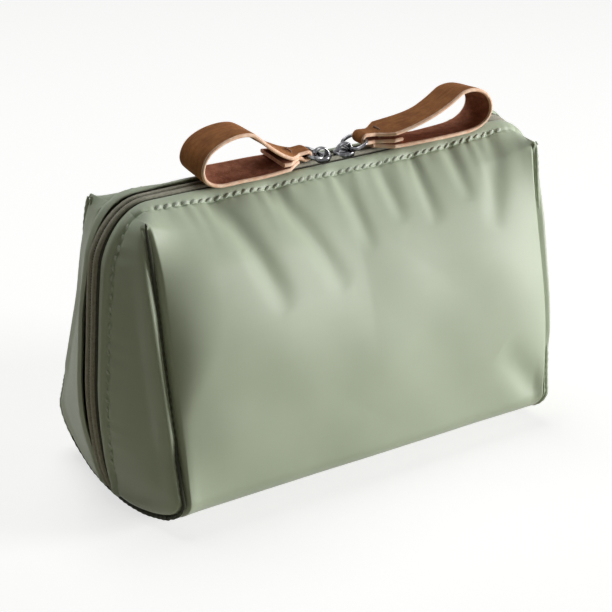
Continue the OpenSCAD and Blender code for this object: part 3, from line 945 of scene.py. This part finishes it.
# %% [markdown]
# ## Ends
# Each end has two narrow cuts of cloth, one on either side of the zip. A
# straight line from the zip's edge to the seam at the same height draws
# such a piece, which is why it is called ruled. On top of that come a hem
# beside the zip, a soft ridge that the seam pulls up, and the crease.

# %% End pieces
zip_foot = 4.0
end_foot_v = 0.026
line_up = zip_top - corner_r - zip_foot
line_all = line_up + line_r * turn_at


def zip_edge_points(u):
    """Cloth edge beside the zip: up the slow tuck, straight up, and round
    the first part of the corner."""
    d = u * line_all
    z = zip_foot + np.minimum(d, line_up)
    a = np.clip(d - line_up, 0, None) / line_r
    tuck = tuck_r - np.sqrt(tuck_r ** 2 - np.clip(tuck_z - z, 0, None) ** 2)
    upright = d < line_up
    x = np.where(upright, -(half_len - edge_drop - tuck), -(line_x + line_r * np.cos(a)))
    z = np.where(upright, z, zip_top - corner_r + line_r * np.sin(a))
    return np.stack([x, 0 * x - edge_half, z], -1)


def end_cloth(seed, ridge, top_lift, lift=0.0, trim=seam_gap):
    """Left front end piece, and each point's distance from the zip's edge.
    Beside the seam it bends round like a quarter circle, dives into the
    crease, and stands up in a ridge where the seam pulls."""
    u, g = np.meshgrid(np.linspace(0, 1, 150), np.sin(np.linspace(0, np.pi / 2, 100)),
                       indexing="ij")
    inner = zip_edge_points(u)
    outer = seam_points(end_foot_v + (ear_v - end_foot_v) * u)
    width = np.linalg.norm(outer - inner, axis=-1)
    sewn = 1 - smooth((u - 0.975) / 0.02)
    g = g * (1 - trim * sewn / np.maximum(width, 3))
    grid = inner + (outer - inner) * g[..., None]
    top = (1 - u) * line_all
    normal = towards_edge(outward(grid), grid[..., 0], top)
    d, side = g * width, (1 - g) * width - (trim - seam_gap) * sewn
    z = grid[..., 2]
    wide = smooth(width / 22)
    low = smooth(top / 12)
    pulled = 0.35 + 0.65 * smooth((z - 32) / 14) * smooth((118 - z) / 26) + 0.5 * bump_at(z, 8, 8)
    out = hem(d, z, low) * smooth(width / 12) + 0.8 * np.sin(np.pi * g) * wide * low
    out = out + (0.55 * bump_at(d, 2.4, 1.8) - 0.35 * bump_at(d, hem_wide, 1.1)) * low
    out = out + ridge * pulled * bump_at(side, 6.0 + np.sin(z / 31.0 + seed), 3.6) * low
    near = np.clip(1 - side / 5.2, 0, 1)
    out = out - (1.4 + 2.9 * pulled) * (1 - np.sqrt(1 - near ** 2)) * low * wide
    out = out - 1.0 * (1 - smooth((side - seam_gap) / 1.6)) * sewn
    uneven = wander(2 * grid[..., 1], z, seed) * 0.8 * wide
    out = out + uneven * smooth(d / 10) * smooth(side / 8) * low
    out = out + lift * np.exp(-(d / 12) ** 2) * smooth((z - 10) / 30) * smooth((112 - z) / 30)
    out = out - rounding(ear_v + (1 - ear_v) * (1 - g), top, d)
    grid = grid + normal * out[..., None]
    grid[..., 1] -= 2.5 * ridge * pulled * bump_at(side, 3.2, 3.0) * low * wide
    grid[..., 2] += top_lift * np.exp(-(d / 16) ** 2) * (1 - smooth(top / 26))
    return grid, d


ends = {"left_front": end_cloth(0.3, 1.2, front_lift(-ear_x), trim=2.5),
        "right_front": end_cloth(1.7, 0.8, front_lift(ear_x)),
        "left_back": end_cloth(2.9, 0.7, back_lift(0), 1.9),
        "right_back": end_cloth(4.1, 0.7, back_lift(0), 1.5)}
for name, axes, hold in corners:
    grid = ends[name][0]
    cloth = piece(f"end_cloth_{name}", mirrored(slab(grid, cloth_t), *axes), [sage],
                  f"gusset_{name}", hold)
    sewn_sheet(cloth, grid)

# %% [markdown]
# ## Rolled seam lips
# Where a face meets an end piece the seam is turned inside out, and its
# allowance makes a thin roll. It is a round profile carried along the seam,
# a little fatter between stitches than at them. The rolls under both ends,
# and the one deep in the left front crease, take the dark painted shade.

# %% Seam lips
def lip(v_start, v_end, n=420, under=0.8, aside=0.3, size=1.15):
    """Round lip inside the left front seam, which dies away at the ear. Its
    radius swells with the stitches; its centre is a little under the cloth,
    and on its way up from the base it can slip further under and aside."""
    v = np.linspace(v_start, v_end, n)
    path = seam_points(np.abs(v)) * np.stack([1 + 0 * v, np.where(v < 0, -1, 1), 1 + 0 * v], -1)
    along = travel(path)
    out = unit(np.cross(along, [-1.0, 0, 0]))
    inward = np.cross(along, out)
    slip = smooth((np.abs(v) - 0.18) / 0.1)[:, None]
    path = path - (0.8 + (under - 0.8) * slip) * out + (0.3 + (aside - 0.3) * slip) * inward
    run = lengths(path)
    radius = size * (1 + 0.07 * np.sin(2 * np.pi * run / 3.3) + 0.05 * np.sin(run / 2.3))
    radius = radius * (0.15 + 0.85 * smooth((ear_v + 0.01 - np.abs(v)) / 0.05))
    profile = circle(1.0, 14)[None] * radius[:, None, None]
    return sweep(path, out, inward, profile)


roll_end, back_end, base_end = ear_v + 0.01, ear_v - 0.008, 0.167
# The left front roll takes the dark cloth, painted shade for its deep crease; the other three are
# plain sage.
rolls = [(lip(face_foot, roll_end, under=1.45, aside=0.8, size=0.85), seam_painted_shade),
         (lip(face_foot, roll_end, under=1.6), sage),
         (lip(face_foot, back_end), sage),
         (lip(face_foot, back_end), sage)]
for (name, axes, hold), (roll, finish) in zip(corners, rolls):
    piece(f"seam_roll_{name}", mirrored(roll, *axes), [finish],
          f"seam_lip_{name}", hold)
# The rolls under both ends take the dark cloth, painted shade for the crease along the base.
for name, axes in ways:
    piece(f"seam_roll_{name}_base", mirrored(lip(-base_end, base_end, 260), *axes),
          [seam_painted_shade], f"seam_lip_{name}_base", "back_half")

# %% [markdown]
# ## Lining
# A smooth pale lining hangs just inside the cloth and is caught in the same
# seams. It follows the cloth's own folds, so it is a coarser copy of those
# grids, moved inwards by the cloth's thickness and a little air.

# %% Lining
air = 0.35
lining_t = 0.5


def inside(grid, rows, cols):
    """Every few rows and columns of a grid, moved in by the cloth and the air."""
    return (grid - outward(grid) * (cloth_t + air))[rows, cols]


in_front, in_back = (inside(g, slice(2, -24, 3), slice(6, -6, 4)) for g in (front_grid, back_grid))
in_base = base_cloth(cloth_t + air + 0.3, 0.16, seam_low - 4, 40, 40)
in_ends = [inside(ends[name][0], slice(14, -12, 3), slice(12, -14, 3)) for name, _, _ in corners]
end_slabs = [mirrored(slab(g, lining_t), *axes) for g, (_, axes, _) in zip(in_ends, corners)]
for name, shape, grids, hold in (
        ("front", slab(in_front, lining_t), [in_front], bend),
        ("back", mirrored(slab(in_back, lining_t), 1), [in_back], "back_half"),
        ("base", slab(in_base, lining_t), [in_base], "back_half"),
        ("ends_front", joined(end_slabs[:2]), in_ends[:2], bend),
        ("ends_back", joined(end_slabs[2:]), in_ends[2:], "back_half")):
    sewn_sheet(piece(f"lining_{name}_cloth", shape, [lining], f"lining_{name}", hold),
               *grids)

# %% [markdown]
# ## Zip
# The zip is the inside-out kind: the coil is hidden under a folded ridge of
# tape, so only two ribs with a fine line between them are seen. The tape is
# one profile carried along the whole path, up one end, over and down. The
# coil is a flattened spiral of nylon under each ridge.

# %% The zip's path
def zip_line(n, foot=zip_foot):
    """Points, frontward and outward directions along the zip, and distances,
    evenly spaced, from the right foot up, over the top and down to the left."""
    a = np.linspace(-math.asin((tuck_z - foot) / tuck_r), 0, 60)
    b = np.linspace(0, np.pi / 2, 60)
    tuck, corner = (np.stack([np.cos(t), np.sin(t)], -1) for t in (a, b))
    half = np.concatenate([(half_len - tuck_r, tuck_z) + tuck_r * tuck,
                           (line_x, zip_top - corner_r) + corner_r * corner])
    way = np.concatenate([tuck, corner])
    line, out = (np.concatenate([p, p[::-1] * (-1, 1)]) for p in (half, way))
    run = lengths(line)
    at = np.linspace(0, run[-1], n)
    path, up = (np.insert(picked(p, run, at), 1, 0, axis=1) for p in (line, out))
    return path, everywhere(path, (0, -1.0, 0)), unit(up), at


tape_t = 0.4
tape_top = np.array([(0.40, -0.95), (0.42, -0.62), (0.58, -0.28), (0.95, 0.0), (1.5, 0.12),
                     (2.1, 0.10), (2.65, -0.10), (3.0, -0.48), (3.16, -1.0), (3.24, -1.7),
                     (3.4, -2.4), (3.9, -2.9), (4.8, -3.2), (6.2, -3.6), (8.0, -4.3)])


def tape_side():
    """Front half of the tape: the line of its top, closed by the same line
    moved back by its thickness."""
    path, side, up, _ = zip_line(520)
    step = travel(tape_top)
    under = tape_top + np.stack([step[:, 1], -step[:, 0]], -1) * tape_t
    under[:, 0] = np.maximum(under[:, 0], 0.40)
    profile = np.concatenate([under, tape_top[::-1]])
    points, faces, uv, _ = sweep(path, side, up, profile)
    column = np.tile(np.arange(len(profile)), len(path) - 1)
    # Faces on the ribs take the tape's own colour; the rest of the profile and the caps take the
    # darker copy, which is painted shade for the sunk flat.
    rib = (column >= len(profile) - 9).astype(int)
    return points, faces, uv, np.concatenate([1 - rib, [1, 1]])


tape = tape_side()
pair("zip_tape", "cloth", tape, tape, [tape_rib, tape_painted_shade])

# %% Coils and stops
coil_pitch, coil_foot = 1.3, 12.0
coil_in, coil_down = 1.15, 1.12
coil_half_w, coil_half_h, coil_wire_r = 1.35, 0.45, 0.26


def coil_side(phase):
    """Flattened spiral under the ridge: at each turn the wire goes once
    round an oval, 2.7 mm wide and 0.9 mm high, and one pitch along. The two
    sides are half a turn apart, so their heads pass the middle in turns."""
    path, side, up, at = zip_line(12 * int(450 / coil_pitch), coil_foot)
    a = 2 * np.pi * at / coil_pitch + phase
    c, s = np.cos(a)[:, None], np.sin(a)[:, None]
    core = path + coil_in * side - coil_down * up
    line = core + coil_half_w * c * side + coil_half_h * s * up
    along = travel(line)
    across = unit(np.cross(c * side + s * up, along))
    return sweep(line, across, np.cross(along, across), circle(coil_wire_r, 5)[None])


def stops_side():
    """A small clamp on each foot of the coil: a short bar of rounded
    rectangle section under the tape."""
    path, side, up, _ = zip_line(700, coil_foot)
    profile = squared(circle(1.0, 20), 0.45) * (1.35, 0.75) + (1.72, -1.2)
    feet = (slice(2, 9), slice(-9, -2))
    return joined(sweep(path[s], side[s], up[s], profile) for s in feet)


pair("zip_coil", "wire", coil_side(0.0), coil_side(np.pi), [coil_wire])
stops = stops_side()
pair("zip_stops", "metal", stops, stops, [chrome])

# %% [markdown]
# ## Topstitching
# One row of stitches holds the hem along the zip. Each stitch is a small
# slanting grain of thread that sinks into the cloth at both ends. The same
# row runs on down the end pieces, where it is hardly seen in the shade.

# %% Topstitching
stitch_rise, row_half, row_foot = 0.30, 97, 12


def grain(length, width, height, slant):
    """One stitch: an oval solid, its ends lower than its middle, turned by
    slant. Columns are along, across and up."""
    a = np.linspace(-np.pi / 2, np.pi / 2, 9)[1:-1, None]
    b = np.arange(8)[None] * np.pi / 4
    p = np.stack([np.sin(a) * length / 2 + 0 * b, np.cos(a) ** 0.7 * np.cos(b) * width / 2,
                  np.cos(a) ** 0.7 * np.sin(b) * height / 2 - 0.3 * np.sin(a) ** 2 + 0 * b], -1)
    turn = np.array([[math.cos(slant), math.sin(slant), 0],
                     [-math.sin(slant), math.cos(slant), 0], [0, 0, 1]])
    return (p @ turn).reshape(-1, 3), tube_faces(*p.shape[:2])


def stitches(line, normal):
    """Grains along a line on the cloth, one every stitch pitch."""
    run = lengths(line)
    count = int((run[-1] - 3) / stitch_pitch)
    at = run[-1] / 2 + (np.arange(count) - (count - 1) / 2) * stitch_pitch
    foot = picked(line, run, at)
    up = unit(picked(normal, run, at))
    along = unit(picked(line, run, at + 0.5) - foot)
    across = np.cross(up, along)
    shape, faces = grain(3.3, 1.45, 1.0, 0.38)
    points = (foot + up * stitch_rise)[:, None] + shape[None, :, :1] * along[:, None] \
        + shape[None, :, 1:2] * across[:, None] + shape[None, :, 2:] * up[:, None]
    start = (np.arange(count) * len(shape))[:, None, None]
    faces = [(f[None] + start).reshape(-1, f.shape[-1]) for f in faces]
    uv = np.tile(shape[:, :2] * MM, (count, 1))
    return points.reshape(-1, 3), faces, uv, None


def hem_row(grid, normal, d):
    """Line down a grid at the hem's stitches: in each column, the row that
    is nearest to that distance from the edge."""
    row = np.abs(d - hem_wide).argmin(axis=0)
    column = np.arange(grid.shape[1])
    return grid[row, column], normal[row, column]


def face_row(grid):
    """Line on a face at the hem's stitches, clear of the zip's corners."""
    line, normal = hem_row(grid, outward(grid), from_edge(grid))
    keep = np.abs(line[:, 0]) < row_half
    return line[keep], normal[keep]


def end_row(grid, d):
    """Line on an end piece at the hem's stitches, from the foot up."""
    line, normal = hem_row(grid.swapaxes(0, 1), outward(grid).swapaxes(0, 1), d.T)
    keep = line[:, 2] > row_foot
    return line[keep], normal[keep]


def all_rows(face, left, right):
    """The stitches along a face and down its two end pieces."""
    rows = (face_row(face), end_row(*left), end_row(*right))
    over, down_left, down_right = (stitches(*row) for row in rows)
    return joined([over, down_left, mirrored(down_right, 0)])


pair("topstitch", "thread", all_rows(front_grid, ends["left_front"], ends["right_front"]),
     all_rows(back_grid, ends["left_back"], ends["right_back"]), [sage_thread])

# %% [markdown]
# ## Sliders
# A slider is two plates joined by a post, with its side walls turned down
# round the ribs and a bridge on top for the ring. Rings of points, each set
# in and raised by its own amount, make a plate with soft edges; the bridge
# is a rounded bar carried along an arch.

# %% Sliders
def plate(insets, heights, length=10.0, width=7.8):
    """Plate from rings of points: an oval squared off by its 2.8th power and
    narrowed towards the nose, shrunk by each inset at each height."""
    x, y = squared(circle(1.0, 48), 2 / 2.8).T
    y = y * (1 - 0.22 * smooth((x - 0.2) / 0.8))
    insets, heights = np.array(insets)[:, None], np.array(heights)[:, None]
    points = np.stack([x * (length / 2 - insets), y * (width / 2 - insets),
                       heights + 0 * x], -1)
    faces = tube_faces(*points.shape[:2])
    points = points.reshape(-1, 3)
    return points, faces, points[:, :2] * MM, None


def slider():
    """Whole slider about the zip's outer face, nose towards +X."""
    top = plate([3.3, 0.75, 0.6, 0.42, 0.1, 0.0, 0.0, 0.12, 0.5, 1.4, 3.0],
                [0.32, 0.3, 0.1, -0.75, -0.85, -0.65, 0.75, 1.1, 1.3, 1.42, 1.46])
    bottom = plate([3.0, 0.4, 0.1, 0.0, 0.0, 0.1, 0.4, 3.0],
                   [-4.7, -4.68, -4.55, -4.3, -4.0, -3.85, -3.75, -3.7])
    t = np.linspace(0, 1, 40)
    xz = bezier((-3.75, 1.15), (-4.3, 5.5), (3.5, 5.7), (3.5, 1.15), t)
    path = np.stack([xz[:, 0], 0 * t, xz[:, 1]], -1)
    along = travel(path)
    side = everywhere(path, (0, 1.0, 0))
    oval = squared(circle(1.0, 20), 0.7) * (1.2, 0.5)
    flare = 1 + 0.35 * np.abs(2 * t - 1) ** 6
    bridge = sweep(path, side, np.cross(along, side), oval[None] * flare[:, None, None])
    post_line = np.array([[3.7, 0, -3.9], [3.7, 0, 0.5]])
    post = sweep(post_line, np.array([[1.0, 0, 0]] * 2), np.array([[0, 1.0, 0]] * 2),
                 circle(1.0, 12)[None] * (0.7, 0.14))
    return joined([top, bottom, bridge, post])


for name, axes in ways:
    points, *rest = mirrored(slider(), *axes)
    node = f"slider_{name}"
    place = ((low(node)[0] + high(node)[0]) / 2, 0, zip_top)
    piece(f"{node}_metal", (points + place, *rest), [chrome], node, f"{name}_slider")

# %% [markdown]
# ## Rings
# A ring of wire joins each slider to its leather. It lies back from its
# bar in the bridge by the angle at which the leather holds it up.

# %% Rings
wire = 1.6
ring_l, ring_w = 8.4, 11.4
ring_z = zip_top + 2.45
hung = {"left": (high("pull_ring_left")[0] - wire / 2, 9.6, 5.0),
        "right": (low("pull_ring_right")[0] + wire / 2, 22.0, 1.0)}


def laid(shape, name, lift):
    """A shape moved from a pull's own place, where it runs towards -X from
    its bar at the origin, to the pouch: lift about Y, mirror if right, with
    the faces turned back out, roll about X, move to the bar in the bridge."""
    points, faces, *rest = shape
    bar_x, _, roll = hung[name]
    lift, roll = math.radians(lift), math.radians(roll)
    x = points[:, 0] * math.cos(lift) + points[:, 2] * math.sin(lift)
    z = points[:, 2] * math.cos(lift) - points[:, 0] * math.sin(lift)
    y = points[:, 1]
    if name == "right":
        x, faces = -x, [f[:, ::-1] for f in faces]
    points = np.stack([x + bar_x, y * math.cos(roll) - z * math.sin(roll),
                       y * math.sin(roll) + z * math.cos(roll) + ring_z], -1)
    return points, faces, *rest


def ring():
    """Wire carried round a squared oval, its near side on the bar."""
    x, y = squared(circle(1.0, 72), 2 / 2.9).T
    path = np.stack([x * ring_l / 2 - ring_l / 2, y * ring_w / 2, 0 * x], -1)
    along = unit(np.roll(path, -1, axis=0) - np.roll(path, 1, axis=0))
    up = everywhere(path, (0, 0, 1.0))
    return sweep(path, np.cross(up, along), up, circle(wire / 2, 16)[None], closed=True)


for name, (_, lift, _) in hung.items():
    piece(f"ring_{name}_wire", laid(ring(), name, lift), [chrome],
          f"pull_ring_{name}", f"{name}_ring")

# %% [markdown]
# ## Leather pulls
# Each pull is one strap: along the zip, round in a loop, back over the top,
# round the ring and a short way back between its own layers, where two
# stitches hold it. Its middle line is a chain of cubic curves; the strap is
# a slab across that line, narrow at the ring, and it twists a little.

# %% Leather pulls
strap_t, strap_rise = 1.8, 22.0
neck_half, strap_half = 3.2, 8.0


def strap_line(lift, reach, crest, below):
    """Middle line of a pull seen from the front, about the ring's near bar:
    bottom layer, loop, top layer, half a turn round the far bar, and tab."""
    bar = np.array([-ring_l * math.cos(math.radians(lift)), ring_l * math.sin(math.radians(lift))])
    wrap = wire / 2 + 0.25 + strap_t / 2
    top = below + strap_rise
    neck = bar[0] - 4.2
    t = np.linspace(0, 1, 40, endpoint=False)
    a = np.radians(90 - np.linspace(0, 180, 24, endpoint=False))
    tab = below + strap_t + 0.12
    parts = [
        np.array([[neck, below]]),
        bezier((-reach + 12, below), (-reach + 1, below), (-reach - 3.5, below + 6),
               (-reach, top - 9), t),
        bezier((-reach, top - 9), (-reach + 3.5, top - 2), (crest - 5, top), (crest, top - 3.5), t),
        bezier((crest, top - 3.5), (crest + 11, top - 11),
               (neck - 9, bar[1] + 1.0), (neck, bar[1] + wrap - 0.3), t),
        bar + wrap * np.stack([np.cos(a), np.sin(a)], -1),
        bezier(bar + (-1.2, -wrap), (neck + 2.5, bar[1] - wrap), (neck + 1.5, tab),
               (neck - 1, tab), t[::3]),
        np.array([[neck - 1, tab], [neck - 12, tab + 1.0]])]
    line = np.concatenate(parts)
    run = lengths(line)
    at = np.linspace(0, run[-1], 420)
    return picked(line, run, at), neck, at


def strap(line, neck, at, twist, shift, seed):
    """Strap across its line. Rows cross the width, which narrows to the
    neck; twist and shift grow with the distance from the neck."""
    along = travel(line)
    out = np.stack([-along[:, 1], along[:, 0]], -1)
    half = neck_half + (strap_half - neck_half) * np.clip((neck - 0.5 - line[:, 0]) / 7.5, 0, 1)
    half = half - 0.12 * np.sin(at / 4.3 + seed) * (half > neck_half + 1)
    rows = np.linspace(-1, 1, 17)[:, None]
    y = rows * half
    crown = strap_t / 2 - 0.22 * np.abs(rows) ** 3 + 0.06 * np.sin(at / 5.1 + 3 * rows + seed)
    face = np.stack([line[:, 0] + out[:, 0] * crown, y, line[:, 1] + out[:, 1] * crown], -1)
    far = smooth((neck - 4 - face[..., 0]) / 26)
    share = np.clip((line[:, 1] - line[:, 1].min()) / np.ptp(line[:, 1]), 0, 1)
    turn = np.radians(twist[0] + (twist[1] - twist[0]) * share) * far
    y, z = face[..., 1] * np.cos(turn), face[..., 2] + face[..., 1] * np.sin(turn)
    return slab(np.stack([face[..., 0], y + shift * far, z], -1), strap_t - 0.1, turns=5)


def staples(line, neck, below):
    """Two stitches across the neck: thread up through the layers, across
    the top and down again."""
    top_layer = line[(line[:, 1] > below + 2.2) & (line[:, 0] < neck + 3)]
    top_layer = top_layer[np.argsort(top_layer[:, 0])]
    made = []
    for x in (neck - 4, neck - 7):
        top = np.interp(x, top_layer[:, 0], top_layer[:, 1]) + strap_t / 2 + 0.5
        bends = np.array([(x, -2.2, below - 0.6), (x, -2.2, top - 0.5), (x, -1.7, top),
                          (x, 1.7, top), (x, 2.2, top - 0.5), (x, 2.2, below - 0.6)])
        run = lengths(bends)
        path = picked(bends, run, np.linspace(0, run[-1], 40))
        along = travel(path)
        side = everywhere(path, (1.0, 0, 0))
        made.append(sweep(path, side, np.cross(along, side), circle(0.38, 10)[None]))
    return joined(made)


def pull(name, reach, crest, below, twist, shift, seed):
    """One leather pull and its stitches, laid on the pouch."""
    line, neck, at = strap_line(hung[name][1], reach, crest, below)
    for shape, finishes, part, solid in (
            (strap(line, neck, at, twist, shift, seed), leather, "leather", "leather_pull"),
            (staples(line, neck, below), [brown_thread], "thread", "pull_stitches")):
        piece(f"pull_{name}_{part}", laid(shape, name, 0), finishes,
              f"{solid}_{name}", f"{name}_pull")


pull("left", 65.5, -41.0, -0.95, (5.0, -4.0), 0.0, 0.5)
pull("right", 71.5, -52.0, -0.85, (-8.0, -9.0), -4.0, 2.0)
